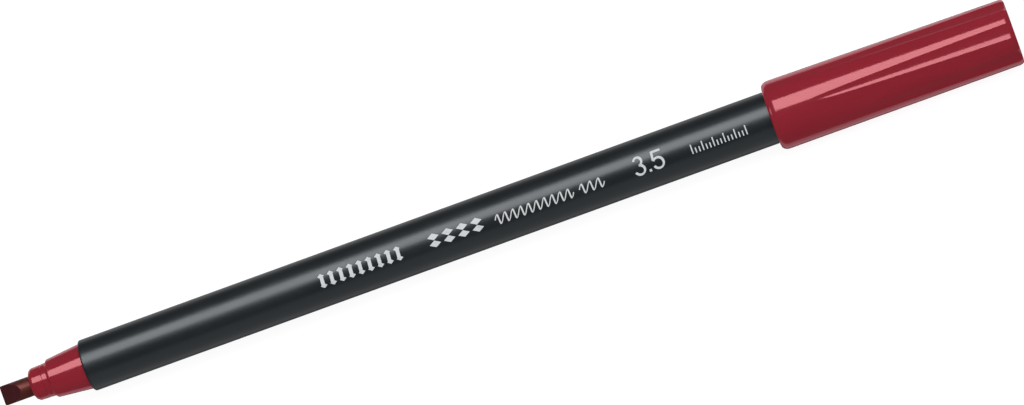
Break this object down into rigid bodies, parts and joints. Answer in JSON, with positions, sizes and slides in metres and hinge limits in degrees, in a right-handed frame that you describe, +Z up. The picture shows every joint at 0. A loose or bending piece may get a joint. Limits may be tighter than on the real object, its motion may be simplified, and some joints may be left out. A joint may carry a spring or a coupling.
{
  "type": "calligraphy marker",
  "caption": "Slim round calligraphy marker with a chisel fibre nib in a stepped front section and a fluted, tapered slip-on cap posted on the rear of the barrel.",
  "frame": {"origin": "middle of the posted pen's length, on the surface that the rim of the cap rests on", "axes": "+X along the pen from the nib to the closed end of the cap, +Z up; the bevel of the nib and the printed side of the barrel look towards -Y and 30 degrees up"},
  "size_m": [0.179, 0.0118, 0.0118],
  "materials": {
    "barrel": "satin black moulded plastic",
    "section": "glossy deep red moulded plastic",
    "nib": "bonded fibre soaked in dark red ink",
    "reservoir": "bonded polyester fibre",
    "film": "thin clear film",
    "plug": "satin black moulded plastic",
    "cap": "glossy deep red moulded plastic",
    "liner": "natural soft plastic"
  },
  "bodies": {
    "pen": {"barrel": "barrel", "nib_section": "section", "nib": "nib", "ink_reservoir": "reservoir", "reservoir_film": "film", "rear_plug": "plug"},
    "cap": {"cap_shell": "cap", "cap_liner": "liner"}
  },
  "joints": [
    {"name": "cap_pull", "type": "slide", "parent": "pen", "child": "cap", "axis": [1, 0, 0], "range_m": [0, 0.03]}
  ]
}
